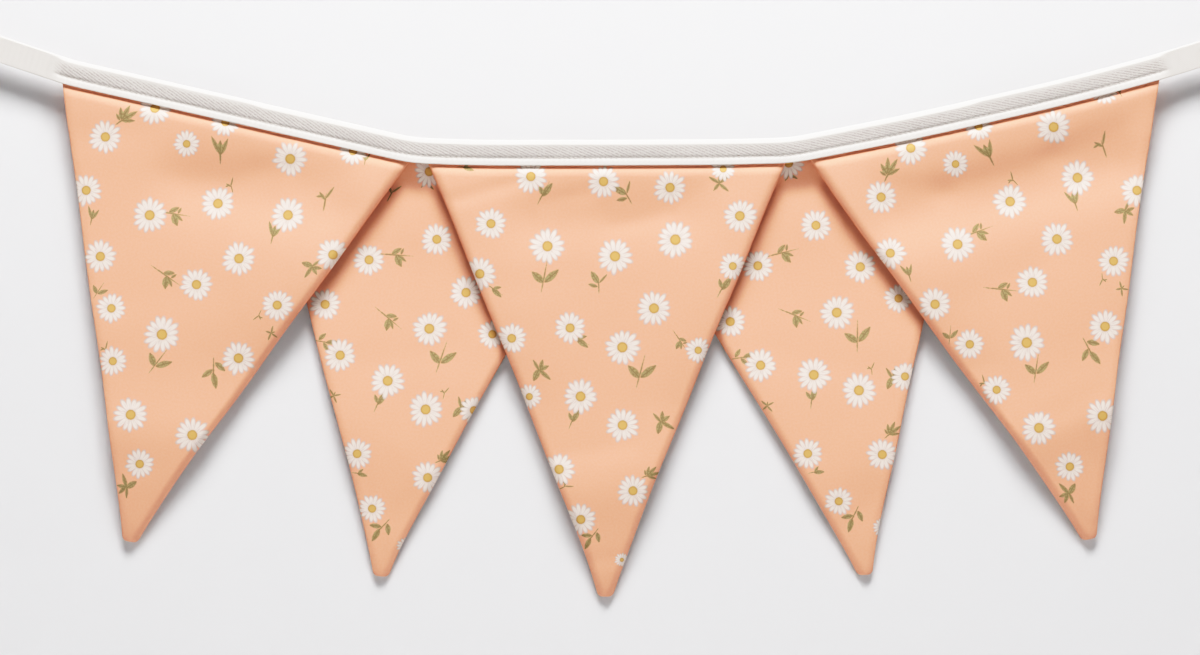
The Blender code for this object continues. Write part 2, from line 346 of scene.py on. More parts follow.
def build_weave():
    """Crossed threads with a slight unevenness, as a height and a mask of thin places."""
    group, wire, given, out = new_group(
        "woven threads",
        (
            ("Place", "NodeSocketVector", None),
            ("Threads", "NodeSocketFloat", 3.0),
            ("Slant", "NodeSocketFloat", 0.0),
            ("Unevenness", "NodeSocketFloat", 0.5),
        ),
        (("Height", "NodeSocketFloat"), ("Slub", "NodeSocketFloat")),
    )
    across, along, _ = wire.split(given["Place"])
    slanted = wire.math("MULTIPLY_ADD", along, given["Slant"], across)
    rate = wire.math("MULTIPLY", given["Threads"], 2 * math.pi)
    warp = wire.math("SINE", wire.math("MULTIPLY", slanted, rate))
    weft = wire.math("SINE", wire.math("MULTIPLY", along, rate))
    weave = wire.math("MULTIPLY", warp, weft)
    noise = wire.add("ShaderNodeTexNoise", noise_dimensions="3D")
    wire.feed(noise.inputs["Vector"], given["Place"])
    noise.inputs["Scale"].default_value = 0.9
    noise.inputs["Detail"].default_value = 3.0
    uneven = wire.math("MULTIPLY", wire.math("SUBTRACT", noise.outputs["Fac"], 0.5), given["Unevenness"])
    height = wire.math("ADD", wire.math("MULTIPLY", weave, 0.5), uneven)
    wire.feed(out["Height"], height)
    wire.feed(out["Slub"], noise.outputs["Fac"])
    return group


WEAVE = build_weave()
TWILL_WHITE = linear(233, 228, 223)
# Painted shade: a darker colour laid into the valleys between the twill's ribs, as if in shadow
TWILL_PAINTED_SHADE = linear(202, 188, 186)
RIB_RATE = 2.0                  # radians of rib for each mm along the tape
RIB_SLANT = 2.3                 # mm along the tape for each mm down
RIB_WOBBLE = 3.0                # radians by which a rib strays
RIB_TOP = (2.0, 4.5)            # the ribs fade in between these distances below the fold
RIB_END = (0.2, -0.6)           # and out between these past the stitches
RIB_PAINTED_SHADE = 0.75                # how dark the painted shade in the valleys between the ribs is
TWILL_BUMP = 0.0004


def place_group(wire, group, **values):
    """A group's node in a tree, with its inputs set."""
    node = wire.add("ShaderNodeGroup", node_tree=group)
    for key, value in values.items():
        wire.feed(node.inputs[key], value)
    return node.outputs


def new_material(name, roughness):
    """A Principled material, and the wiring of its tree."""
    material = bpy.data.materials.new(name)
    material.use_nodes = True
    shader = material.node_tree.nodes["Principled BSDF"]
    shader.inputs["Roughness"].default_value = roughness
    shader.inputs["Specular IOR Level"].default_value = 0.2
    return material, shader, Wiring(material.node_tree)


def build_twill():
    """White cotton twill: slanted ribs that show on the band above the stitches, with painted shade in the
    valleys between them.
    """
    material, shader, wire = new_material("white twill", 0.9)
    strip = wire.add("ShaderNodeUVMap", uv_map="strip").outputs["UV"]
    along, down, _ = wire.split(strip)
    left, right = PENNANTS["pennant_1"].left_mm, PENNANTS["pennant_5"].right_mm
    sewn_left = wire.ramp(along, left - SEWN_EASE, left)
    sewn_right = wire.ramp(along, right + SEWN_EASE, right)
    below_top = wire.ramp(down, *RIB_TOP)
    above_end = wire.ramp(down, STITCH_DOWN + RIB_END[0], STITCH_DOWN + RIB_END[1])
    sewn = wire.math("MULTIPLY", sewn_left, sewn_right)
    band = wire.math("MULTIPLY", wire.math("MULTIPLY", below_top, above_end), sewn)
    phase = wire.math("MULTIPLY", wire.math("MULTIPLY_ADD", down, -RIB_SLANT, along), RIB_RATE)
    wobble = wire.add("ShaderNodeTexNoise")
    wire.feed(wobble.inputs["Vector"], strip)
    wobble.inputs["Scale"].default_value = 0.45
    wobble.inputs["Detail"].default_value = 2.0
    phase = wire.math("MULTIPLY_ADD", wobble.outputs["Fac"], RIB_WOBBLE, phase)
    ribs = wire.math("SINE", phase)
    weave = place_group(wire, WEAVE, Place=strip, Threads=1.6, Slant=0.6, Unevenness=0.5)
    patchy = wire.math("MULTIPLY", band, wire.ramp(weave["Slub"], 0.3, 0.6))
    height = wire.math("MULTIPLY_ADD", wire.math("MULTIPLY", ribs, patchy), 0.7, weave["Height"])
    bump = wire.add("ShaderNodeBump")
    bump.inputs["Strength"].default_value = 0.35
    bump.inputs["Distance"].default_value = TWILL_BUMP
    wire.feed(bump.inputs["Height"], height)
    wire.feed(shader.inputs["Normal"], bump.outputs["Normal"])
    # Painted shade: the valleys between the ribs are coloured darker, standing in for their shadow
    painted_valley_shade = wire.math("MULTIPLY", wire.ramp(ribs, 0.4, -0.9), wire.math("MULTIPLY", patchy, RIB_PAINTED_SHADE))
    wire.feed(shader.inputs["Base Color"], wire.mix(painted_valley_shade, TWILL_WHITE, TWILL_PAINTED_SHADE))
    return material


def stitch_tree(thread):
    """Geometry Nodes: stitches laid end to end along a line."""
    tree = bpy.data.node_groups.new("stitch line", "GeometryNodeTree")
    wire = Wiring(tree)
    sockets = {}
    tree.interface.new_socket(name="Line", in_out="INPUT", socket_type="NodeSocketGeometry")
    for name, kind in (
        ("Stitch pitch", "NodeSocketFloat"),
        ("Stitch length", "NodeSocketFloat"),
        ("Thread width", "NodeSocketFloat"),
        ("Seed", "NodeSocketInt"),
    ):
        sockets[name] = tree.interface.new_socket(name=name, in_out="INPUT", socket_type=kind).identifier
    tree.interface.new_socket(name="Stitches", in_out="OUTPUT", socket_type="NodeSocketGeometry")
    given = wire.add("NodeGroupInput").outputs
    out = wire.add("NodeGroupOutput").inputs
    curve = wire.add("GeometryNodeMeshToCurve")
    wire.feed(curve.inputs["Mesh"], given["Line"])
    points = wire.add("GeometryNodeCurveToPoints", mode="LENGTH")
    wire.feed(points.inputs["Curve"], curve.outputs["Curve"])
    wire.feed(points.inputs["Length"], given["Stitch pitch"])
    turn = wire.add("FunctionNodeAlignRotationToVector", axis="Z")
    wire.feed(turn.inputs["Vector"], points.outputs["Tangent"])
    thread_shape = wire.add("GeometryNodeMeshUVSphere")
    thread_shape.inputs["Segments"].default_value = 8
    thread_shape.inputs["Rings"].default_value = 6
    thread_shape.inputs["Radius"].default_value = 0.5
    size = wire.add("ShaderNodeCombineXYZ")
    wire.feed(size.inputs["X"], given["Thread width"])
    wire.feed(size.inputs["Y"], given["Thread width"])
    wire.feed(size.inputs["Z"], given["Stitch length"])
    vary = wire.add("FunctionNodeRandomValue", data_type="FLOAT")
    vary.inputs[2].default_value = STITCH_VARY[0]
    vary.inputs[3].default_value = STITCH_VARY[1]
    wire.feed(vary.inputs["Seed"], given["Seed"])
    scale = wire.add("ShaderNodeVectorMath", operation="SCALE")
    wire.feed(scale.inputs[0], size.outputs[0])
    wire.feed(scale.inputs["Scale"], vary.outputs[1])
    laid = wire.add("GeometryNodeInstanceOnPoints")
    wire.feed(laid.inputs["Points"], points.outputs["Points"])
    wire.feed(laid.inputs["Instance"], thread_shape.outputs["Mesh"])
    wire.feed(laid.inputs["Rotation"], turn.outputs["Rotation"])
    wire.feed(laid.inputs["Scale"], scale.outputs["Vector"])
    real = wire.add("GeometryNodeRealizeInstances")
    wire.feed(real.inputs["Geometry"], laid.outputs["Instances"])
    rounded = wire.add("GeometryNodeSetShadeSmooth")
    wire.feed(rounded.inputs["Geometry"], real.outputs["Geometry"])
    clad = wire.add("GeometryNodeSetMaterial")
    clad.inputs["Material"].default_value = thread
    wire.feed(clad.inputs["Geometry"], rounded.outputs["Geometry"])
    wire.feed(out["Stitches"], clad.outputs["Geometry"])
    return tree, sockets


def build_stitches(thread):
    """The row of stitches on the front and on the back of the tape."""
    left = PENNANTS["pennant_1"].left_mm - SEWN_MARGIN
    right = PENNANTS["pennant_5"].right_mm + SEWN_MARGIN
    vertices, edges = [], []
    outer = CLOTH_GAP * 1.5 + CLOTH_AT_TAPE + TAPE_WALL
    for side in (-1, 1):
        steps = round((right - left) / TAPE_ROW)
        for step in range(steps + 1):
            along = left + (right - left) * step / steps
            x, z = below_fold(along, STITCH_DOWN)
            depth = side * (outer + tape_relief(along, STITCH_DOWN) + THREAD_WIDTH * THREAD_PROUD)
            vertices.append((x * MM, depth * MM, z * MM))
            if step:
                edges.append((len(vertices) - 2, len(vertices) - 1))
    mesh = bpy.data.meshes.new("stitch path")
    mesh.from_pydata(vertices, edges, [])
    path = bpy.data.objects.new("stitch path", mesh)
    bpy.context.scene.collection.objects.link(path)
    tree, sockets = stitch_tree(thread)
    sewing = path.modifiers.new("sewing", "NODES")
    sewing.node_group = tree
    sewing[sockets["Stitch pitch"]] = STITCH_PITCH * MM
    sewing[sockets["Stitch length"]] = STITCH_LENGTH * MM
    sewing[sockets["Thread width"]] = THREAD_WIDTH * MM
    sewing[sockets["Seed"]] = 4
    evaluated = path.evaluated_get(bpy.context.evaluated_depsgraph_get())
    made = bpy.data.meshes.new_from_object(evaluated)
    stitches = bpy.data.objects.new("tape_stitches", made)
    bpy.context.scene.collection.objects.link(stitches)
    bpy.data.objects.remove(path, do_unlink=True)
    return stitches


def build_thread():
    """White cotton sewing thread."""
    material, shader, _ = new_material("white sewing thread", 0.75)
    shader.inputs["Base Color"].default_value = TWILL_WHITE
    return material


tape = build_tape()
tape.data.materials.append(build_twill())
stitches = build_stitches(build_thread())
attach(tape, "root")
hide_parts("tape")
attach(stitches, "root")

# The pennants
# Each is two triangles of printed cotton, sewn face to face, turned out and pressed.
# Their raw tops lie inside the tape, three in its front layer and two behind them.
CLOTH_BODY = 2.0                # thickness of the two layers in the open
CLOTH_RIM = 1.3                 # thickness at the turned seam
SEAM_ALLOWANCE = 9.5            # how far a pennant reaches up into the tape
LOW_HALF_WIDTH = 1.3            # half the width to which the straight sides would narrow at the tip
TIP_FLARE = 2.3                 # how much further the blunt tip reaches to each side
FLARE_POWER = 12                # how near the tip that starts
TIP_ROUND = 2.2                 # height over which the blunt tip is rounded
TIP_CORNER = 0.5                # share of the tip's width that its lowest row keeps
BOW_SCALE = 6.75                # makes a side edge's bow 1 where it is widest
STAND_DOWN = 45.0               # below the tape the cloth stands off most here
REST_FROM = 0.2                 # from this share of its drop it settles back
REST_SPAN = 0.5
EDGE_SPAN = 0.55                # the side edges stand off further over this share of the drop
CURL_POWER = 14                 # how sharply the tip curls back
ROLL_WIDTH = 4.2                # the side edges roll back over this distance
RIM_SOFTENING = 14.0            # from the rim inwards, the cloth thickens over this distance
SWAY = 0.22                     # how far the side edges sway from a plain line
SWAY_START = 20.0               # the sway sets in over this distance
SWAY_LEFT, SWAY_RIGHT = 13.0, 11.0
GATHER = 0.10                   # height of the ripples just below the tape
GATHER_FADE = 9.0
GATHER_LENGTHS = (2.9, 13.0)
SEAM_PUCKER = 0.07              # height of the small puckers along the side seams
SEAM_PUCKER_WIDTH = 2.6
SEAM_PUCKER_START = 12.0
SEAM_PUCKER_LENGTHS = (0.85, 7.0)
TIP_THIN = 0.1                  # share of the thickness that is left at the tip's end
RIM_INSETS = (0.0, 0.05, 0.18, 0.38, 0.65, 1.2)
MIDDLE_COLUMNS = 104
ALLOWANCE_ROWS = 6
BODY_ROWS = 138
TIP_ROWS = 9

# Main folds: soft ridges (height over 0) and troughs along a line on a pennant.
# across: 0 left edge to 1 right edge; down: 0 at the tape to 1 at the tip; height is towards the front
Fold = namedtuple("Fold", "pennant across_a down_a across_b down_b width_mm height_mm")
FOLDS = (
    Fold("pennant_1", 0.42, 0.16, 0.84, 0.13, 17, -2.8),
    Fold("pennant_1", 0.10, 0.55, 0.85, 0.34, 30, 0.9),
    Fold("pennant_1", 0.00, 0.76, 1.00, 0.73, 20, 2.2),
    Fold("pennant_2", 0.50, 0.30, 0.55, 0.80, 28, -0.6),
    Fold("pennant_2", 0.10, 0.68, 0.90, 0.76, 18, 0.9),
    Fold("pennant_3", 0.27, 0.13, 0.75, 0.11, 14, -1.8),
    Fold("pennant_3", 0.10, 0.76, 0.90, 0.72, 19, 2.2),
    Fold("pennant_4", 0.45, 0.30, 0.50, 0.85, 26, -0.6),
    Fold("pennant_4", 0.10, 0.78, 0.90, 0.72, 16, 0.8),
    Fold("pennant_5", 0.16, 0.17, 0.88, 0.16, 17, -3.6),
    Fold("pennant_5", 0.10, 0.60, 0.75, 0.47, 26, 0.8),
    Fold("pennant_5", 0.00, 0.74, 1.00, 0.70, 18, 2.3),
)

# Small soft puckers, in mm across and down from the pennant's left corner
Pucker = namedtuple("Pucker", "pennant across_a down_a across_b down_b width_mm height_mm")
PUCKERS = (
    Pucker("pennant_1", 102, 20, 118, 17, 7, -0.6),
    Pucker("pennant_1", 60, 34, 96, 27, 8, -0.35),
    Pucker("pennant_1", 6, 26, 40, 16, 8, -0.4),
    Pucker("pennant_1", 126, 34, 152, 18, 9, 0.5),
    Pucker("pennant_1", 52, 96, 96, 84, 10, -0.3),
    Pucker("pennant_1", 70, 190, 92, 178, 8, 0.3),
    Pucker("pennant_3", 12, 18, 44, 9, 4.0, -0.6),
    Pucker("pennant_3", 58, 19, 78, 14, 5, -0.45),
    Pucker("pennant_3", 90, 31, 116, 25, 5, -0.45),
    Pucker("pennant_3", 118, 18, 150, 8, 8, -0.4),
    Pucker("pennant_3", 30, 62, 70, 55, 9, -0.3),
    Pucker("pennant_3", 66, 142, 98, 138, 6, -0.4),
    Pucker("pennant_3", 74, 196, 94, 192, 4, -0.3),
    Pucker("pennant_5", 28, 18, 60, 30, 7, -0.5),
    Pucker("pennant_5", 60, 30, 118, 25, 7, -0.45),
    Pucker("pennant_5", 118, 25, 168, 14, 8, -0.6),
    Pucker("pennant_5", 60, 84, 110, 70, 10, -0.3),
    Pucker("pennant_5", 84, 149, 112, 142, 6, -0.4),
    Pucker("pennant_5", 88, 198, 94, 205, 4, -0.3),
    Pucker("pennant_2", 86, 182, 94, 170, 6, -0.3),
    Pucker("pennant_2", 52, 110, 100, 98, 9, -0.35),
    Pucker("pennant_4", 84, 196, 108, 176, 8, -0.3),
    Pucker("pennant_4", 70, 100, 120, 116, 9, -0.35),
)

# Depth of each layer's cloth just below the tape, where it stands off most, and where it settles.
# swell: how far below the tape it reaches that first depth and its full thickness
Stand = namedtuple("Stand", "swell_mm lift_mm most_mm rest_mm")
STANDS = {"front": Stand(5.0, -2.4, -1.2, -2.0), "back": Stand(15.0, 5.6, 4.6, -0.2)}

# How each pennant departs from that: at the tip, and at the two halves of the side edges
Hang = namedtuple("Hang", "tip_mm left_mm right_mm")
HANGS = {
    "pennant_1": Hang(4.0, 0.3, -4.0),
    "pennant_2": Hang(2.4, -0.2, 0.4),
    "pennant_3": Hang(4.0, -2.4, -2.6),
    "pennant_4": Hang(2.4, 0.4, -0.2),
    "pennant_5": Hang(4.0, -4.0, 0.3),
}

# How far the left and the right edge roll back; those that face down roll most
Roll = namedtuple("Roll", "left_mm right_mm")
ROLLS = {
    "pennant_1": Roll(0.8, 2.6),
    "pennant_2": Roll(1.2, 2.0),
    "pennant_3": Roll(2.0, 2.0),
    "pennant_4": Roll(2.0, 1.2),
    "pennant_5": Roll(2.6, 0.8),
}


def distance_to_line(x, y, ax, ay, bx, by):
    """How far a point lies from a stretch of line."""
    run_x, run_y = bx - ax, by - ay
    share = ((x - ax) * run_x + (y - ay) * run_y) / (run_x * run_x + run_y * run_y)
    share = min(1.0, max(0.0, share))
    return math.hypot(x - ax - run_x * share, y - ay - run_y * share)


class Cloth:
    """One pennant's cut: its corners, its frame on the flat, and the shape in which it hangs."""

    def __init__(self, name):
        self.name = name
        self.cut = PENNANTS[name]
        self.left = below_fold(self.cut.left_mm, TAPE_WIDTH)
        right = below_fold(self.cut.right_mm, TAPE_WIDTH)
        self.chord = math.dist(self.left, right)
        self.run = ((right[0] - self.left[0]) / self.chord, (right[1] - self.left[1]) / self.chord)
        self.folds = []
        width = self.cut.right_mm - self.cut.left_mm
        for fold in FOLDS:
            if fold.pennant == name:
                ends = []
                for across, down in ((fold.across_a, fold.down_a), (fold.across_b, fold.down_b)):
                    ends += [(across - 0.5) * width * (1.0 - down), down * self.cut.drop_mm]
                self.folds.append((ends, fold.width_mm, fold.height_mm))
        self.puckers = [p for p in PUCKERS if p.pennant == name]
        self.rolls = ROLLS[name]
        chance = random.Random(name)
        self.ripple = [chance.uniform(0, 2 * math.pi) for _ in range(5)]

    def on_flat(self, x, z):
        """Millimetres across and down from the left corner."""
        dx, dz = x - self.left[0], z - self.left[1]
        return dx * self.run[0] + dz * self.run[1], dx * self.run[1] - dz * self.run[0]

    def edges(self, distance):
        """Where the two side edges are at a distance below the tape, across from the left corner."""
        cut = self.cut
        down = distance / cut.drop_mm
        bow = BOW_SCALE * down * (1.0 - down) ** 2
        half_tip = LOW_HALF_WIDTH * down + TIP_FLARE * max(0.0, down) ** FLARE_POWER
        left = cut.tip_along_mm * down - half_tip - cut.bow_left_mm * bow
        right = self.chord + (cut.tip_along_mm - self.chord) * down + half_tip + cut.bow_right_mm * bow
        sway = SWAY * smooth(distance / SWAY_START)
        left += sway * math.sin(distance / SWAY_LEFT + self.ripple[0])
        right += sway * math.sin(distance / SWAY_RIGHT + self.ripple[1])
        return left, right

    def place(self, across, distance, narrow):
        """Place (x, z) on the pennant below the tape's edge."""
        down = distance / self.cut.drop_mm
        left, right = self.edges(distance)
        middle = (left + right) / 2
        along_chord = middle + (left - middle + (right - left) * across) * narrow
        run_x, run_z = self.run
        x = self.left[0] + run_x * along_chord + run_z * distance
        z = self.left[1] + run_z * along_chord - run_x * distance
        # The top edge follows the bent tape, and that bend fades out down the cloth
        along = self.cut.left_mm + (self.cut.right_mm - self.cut.left_mm) * across
        edge_x, edge_z = below_fold(along, TAPE_WIDTH)
        fade = (1.0 - down) ** 3
        x += (edge_x - self.left[0] - run_x * self.chord * across) * fade
        z += (edge_z - self.left[1] - run_z * self.chord * across) * fade
        return x, z

    def fold_depth(self, across, down, x, z):
        """Depth that folds, puckers and the hang add at a place on the pennant."""
        width = self.cut.right_mm - self.cut.left_mm
        flat_x, flat_y = (across - 0.5) * width * (1.0 - down), down * self.cut.drop_mm
        depth = 0.0
        for ends, fold_width, height in self.folds:
            far = distance_to_line(flat_x, flat_y, *ends) / fold_width
            depth -= height * math.exp(-far * far)
        own_x, own_y = self.on_flat(x, z)
        for p in self.puckers:
            far = distance_to_line(own_x, own_y, p.across_a, p.down_a, p.across_b, p.down_b) / p.width_mm
            depth -= p.height_mm * math.exp(-far * far)
        hang = HANGS[self.name]
        depth += hang.tip_mm * down ** CURL_POWER
        stand_off = math.sin(math.pi * min(1.0, down / EDGE_SPAN))
        depth += hang.left_mm * stand_off * smooth(1.0 - 2.0 * across)
        depth += hang.right_mm * stand_off * smooth(2.0 * across - 1.0)
        # Cloth eased into the sewn tape ripples a little just below it
        gather = GATHER * math.exp(-own_y / GATHER_FADE)
        short, long = GATHER_LENGTHS
        ripples = math.sin(own_x / short + self.ripple[2]) * math.sin(own_x / long + self.ripple[3])
        depth += gather * ripples
        return depth

    def seam_pucker(self, inset, distance):
        """Small puckers square to the turned side seam."""
        near = math.exp(-inset / SEAM_PUCKER_WIDTH) * smooth(distance / SEAM_PUCKER_START)
        short, long = SEAM_PUCKER_LENGTHS
        stray = 2.0 * math.sin(distance / long + self.ripple[4])
        return SEAM_PUCKER * near * math.sin(distance / short + stray)


def row_distances(drop):
    """Each row of a pennant's mesh: distance below the tape, and shares of width and thickness kept."""
    rows = []
    for row in range(ALLOWANCE_ROWS):
        rows.append((-SEAM_ALLOWANCE * (1 - row / ALLOWANCE_ROWS), 1.0, 1.0))
    straight = drop - TIP_ROUND
    rows += [(straight * row / BODY_ROWS, 1.0, 1.0) for row in range(BODY_ROWS + 1)]
    for row in range(1, TIP_ROWS + 1):
        share = math.sin(math.pi / 2 * row / TIP_ROWS)
        round_off = math.sqrt(max(0.0, 1.0 - share * share))
        narrow = TIP_CORNER + (1.0 - TIP_CORNER) * round_off
        keep = TIP_THIN + (1.0 - TIP_THIN) * round_off ** 0.6
        rows.append((straight + TIP_ROUND * share, narrow, keep))
    return rows


def half_thickness(inset, swell, keep):
    """Half the cloth's thickness at a distance in from its side edge."""
    body = CLOTH_RIM + (CLOTH_BODY - CLOTH_RIM) * smooth(inset / RIM_SOFTENING)
    full = CLOTH_AT_TAPE + (body - CLOTH_AT_TAPE) * swell
    edge = 1.0 - min(1.0, inset / (CLOTH_RIM / 2))
    return full / 2 * math.sqrt(max(0.0, 1.0 - edge * edge)) * keep


def build_pennant(name):
    """The pennant as one closed mesh: rows of loops that go across the front and back across the rear."""
    cloth = Cloth(name)
    in_front = cloth.cut.layer == "front"
    at_tape = (-1 if in_front else 1) * (CLOTH_GAP + CLOTH_AT_TAPE) / 2
    stand = STANDS[cloth.cut.layer]
    drop = cloth.cut.drop_mm
    vertices, flats = [], []
    rows = row_distances(drop)
    for distance, narrow, keep in rows:
        if distance <= 0:
            width = cloth.cut.right_mm - cloth.cut.left_mm
        else:
            left, right = cloth.edges(distance)
            width = (right - left) * narrow
        deepest = RIM_INSETS[-1]
        insets = list(RIM_INSETS)
        for column in range(1, MIDDLE_COLUMNS):
            insets.append(deepest + (width - 2 * deepest) * column / MIDDLE_COLUMNS)
        insets += [width - inset for inset in RIM_INSETS[::-1]]
        front, rear = [], []
        for inset in insets:
            across = inset / width
            edge_inset = min(inset, width - inset)
            if distance <= 0:
                along = cloth.cut.left_mm + width * across
                x, z = below_fold(along, TAPE_WIDTH + distance)
                depth, swell = at_tape, 0.0
            else:
                x, z = cloth.place(across, distance, narrow)
                swell = smooth(distance / stand.swell_mm)
                out = smooth(distance / STAND_DOWN)
                home = smooth((distance / drop - REST_FROM) / REST_SPAN)
                settled = stand.lift_mm + (stand.most_mm - stand.lift_mm) * out
                settled += (stand.rest_mm - stand.most_mm) * home
                roll = cloth.rolls[across > 0.5] * max(0.0, 1.0 - edge_inset / ROLL_WIDTH) ** 2
                fold = settled + roll + cloth.fold_depth(across, distance / drop, x, z)
                depth = at_tape + (fold - at_tape) * swell + cloth.seam_pucker(edge_inset, distance)
            half = half_thickness(edge_inset, swell, keep)
            front.append((x, depth - half, z))
            rear.append((x, depth + half, z))
        loop = front + rear[-2:0:-1]
        vertices += loop
        flats += [cloth.on_flat(x, z) for x, _, z in loop]
    across_count = len(front)
    around = len(loop)
    faces = []
    for row in range(len(rows) - 1):
        for step in range(around):
            a = row * around + step
            b = row * around + (step + 1) % around
            faces.append((a, a + around, b + around, b))
    for base, turned in ((0, False), ((len(rows) - 1) * around, True)):
        for step in range(across_count - 1):
            rear_a = (around - step) % around
            rear_b = around - step - 1 if step < across_count - 2 else across_count - 1
            ring = [base + step, base + step + 1, base + rear_b, base + rear_a]
            # At a row's two ends front and rear share a vertex
            ring = list(dict.fromkeys(ring))
            faces.append(tuple(ring[::-1] if turned else ring))
    piece = new_object(name + "_cotton", vertices, faces)
    return piece, cloth, flats, across_count, around


# The print: daisies and sprigs on peach, charted in mm across and down from the left corner.
# Three cuts of one cloth: the outer pair, the pair behind and the middle one.
Daisy = namedtuple("Daisy", "across_mm down_mm width_mm turn_deg")
DAISIES = {
    "outer": (
        Daisy(47, 2, 16, 5), Daisy(82, 1, 14, 20), Daisy(26.5, 21, 16, 11),
        Daisy(66, 15.5, 13, 3), Daisy(117, 11.5, 17, 17), Daisy(146, 1, 14, 8),
        Daisy(87, 40.5, 16.5, 0), Daisy(122, 38.5, 17, 14), Daisy(23, 48.5, 15.5, 24),
        Daisy(56, 53.5, 17, 6), Daisy(148, 52.5, 16, 19), Daisy(103.5, 64.5, 16.5, 12),
        Daisy(37, 78.5, 16, 2), Daisy(86, 81.5, 16, 22), Daisy(127, 82.5, 15.5, 9),
        Daisy(48, 102, 14.5, 16), Daisy(75, 109, 18, 7), Daisy(114, 112, 16.5, 21),
        Daisy(54.5, 127, 14, 13), Daisy(69, 150.5, 17, 1), Daisy(100.5, 153.5, 17, 18),
        Daisy(78.5, 173, 14.5, 10),
    ),
    "behind": (
        Daisy(83, 12, 15, 12), Daisy(58, 58, 15.5, 4), Daisy(90, 44.5, 15.5, 19),
        Daisy(107, 69, 16, 9), Daisy(39, 82, 15.5, 23), Daisy(91, 88.5, 17, 15),
        Daisy(122, 88, 14, 2), Daisy(49, 106, 16, 11), Daisy(73.5, 116, 17, 20),
        Daisy(93.5, 128, 17, 6), Daisy(117, 126, 14, 17), Daisy(62.5, 153, 15, 8),
        Daisy(98, 161, 15.5, 22), Daisy(72.5, 179, 14, 14), Daisy(91, 196, 10, 0),
    ),
    "middle": (
        Daisy(47, 6.5, 16, 7), Daisy(82.5, 9, 16, 18), Daisy(115, 12, 16, 2),
        Daisy(141, 3, 12, 13), Daisy(27.5, 29.5, 15.5, 22), Daisy(149, 26, 16.5, 9),
        Daisy(55, 40.5, 17.5, 15), Daisy(117.5, 37.5, 18, 5), Daisy(88, 45.5, 17.5, 20),
        Daisy(22, 54, 16, 12), Daisy(145.5, 50.5, 13.5, 1), Daisy(107, 71, 17, 17),
        Daisy(66, 80.5, 15.5, 8), Daisy(37.5, 85.5, 15, 24), Daisy(91.5, 90, 17.5, 11),
        Daisy(128.5, 91.5, 12.5, 4), Daisy(71, 114, 17, 19), Daisy(91.5, 128, 16.5, 6),
        Daisy(46, 114, 12, 14), Daisy(60.5, 149.5, 16, 21), Daisy(96.5, 160, 15.5, 10),
        Daisy(71, 174, 15.5, 3), Daisy(91, 194, 7, 16),
    ),
}
# turn is clockwise from pointing up; shape names a drawing in SPRIG_SHAPES
Sprig = namedtuple("Sprig", "shape across_mm down_mm turn_deg size")
SPRIGS = {
    "outer": (
        Sprig("fan", 34, 9.5, 40, 1.0), Sprig("spray", 83, 14.5, -6, 1.0),
        Sprig("twig", 91.5, 30.5, -20, 0.6), Sprig("spray", 29, 60, 6, 0.68),
        Sprig("branch", 67, 50, 0, 1.0), Sprig("spray", 117.5, 48.5, 6, 0.8),
        Sprig("twig", 138.5, 26.5, 4, 1.0), Sprig("clump", 139.5, 60.5, 70, 0.85),
        Sprig("pair", 40, 95, 10, 0.62), Sprig("branch", 71, 80.5, 26, 1.0),
        Sprig("twig", 119, 89.5, 200, 0.5), Sprig("cross", 127, 96.5, 60, 0.6),
        Sprig("pair", 76, 122.5, 14, 0.95), Sprig("leafy", 104, 121, 90, 1.0),
        Sprig("twig", 50, 122, -20, 0.6), Sprig("clump", 74.5, 185.5, 200, 0.9),
        Sprig("spray", 153, 3, 0, 0.5),
    ),
    "behind": (
        Sprig("cross", 82, 17, 0, 0.8), Sprig("twig", 66, 24, 30, 0.8),
        Sprig("branch", 71, 54, 2, 1.0), Sprig("branch", 71, 85.5, 38, 0.95),
        Sprig("pair", 98.5, 102, 2, 1.05), Sprig("leafy", 41, 100, 15, 0.75),
        Sprig("spear", 70.5, 126, 14, 0.85), Sprig("cross", 48, 126, 20, 0.6),
        Sprig("clump", 111, 125.5, 10, 0.95), Sprig("fan", 105, 151, 60, 0.8),
        Sprig("spear", 65, 162.5, 85, 0.6), Sprig("leafy", 78, 188.5, 140, 0.9),
        Sprig("twig", 102, 119, 15, 0.5),
    ),
    "middle": (
        Sprig("spear", 15.5, 2, 92, 0.65), Sprig("spear", 53.5, 14, 24, 0.95),
        Sprig("fork", 93, 14, -28, 1.0), Sprig("cross", 139, 10, 0, 0.95),
        Sprig("pair", 53.5, 55.5, 0, 1.05), Sprig("fork", 80, 57.5, 0, 0.9),
        Sprig("spear", 29.5, 62, 120, 0.75), Sprig("spear", 141, 60, 24, 0.9),
        Sprig("spear", 71, 86.5, 115, 0.85), Sprig("branch", 120, 87, 60, 0.7),
        Sprig("clump", 51, 101, 0, 0.95), Sprig("pair", 100.5, 102, 4, 1.1),
        Sprig("spray", 47, 113, 0, 0.6), Sprig("spear", 67.5, 124.5, 18, 0.8),
        Sprig("clump", 110.5, 126.5, -12, 0.95), Sprig("fan", 105, 152, 70, 0.75),
        Sprig("twig", 63.5, 158, 70, 0.6), Sprig("leafy", 76.5, 183, 140, 0.8),
    ),
}
# How each pennant's cut lies on the print
Lay = namedtuple("Lay", "cut turn_deg across_mm down_mm")
LAYS = {
    "pennant_1": Lay("outer", 0.0, 0.0, 0.0),
    "pennant_2": Lay("behind", 0.0, 0.0, 0.0),
    "pennant_3": Lay("middle", 0.0, 3.2, 0.0),
    "pennant_4": Lay("behind", 5.9, 2.2, 4.6),
    "pennant_5": Lay("outer", 3.2, 2.1, 6.2),
}
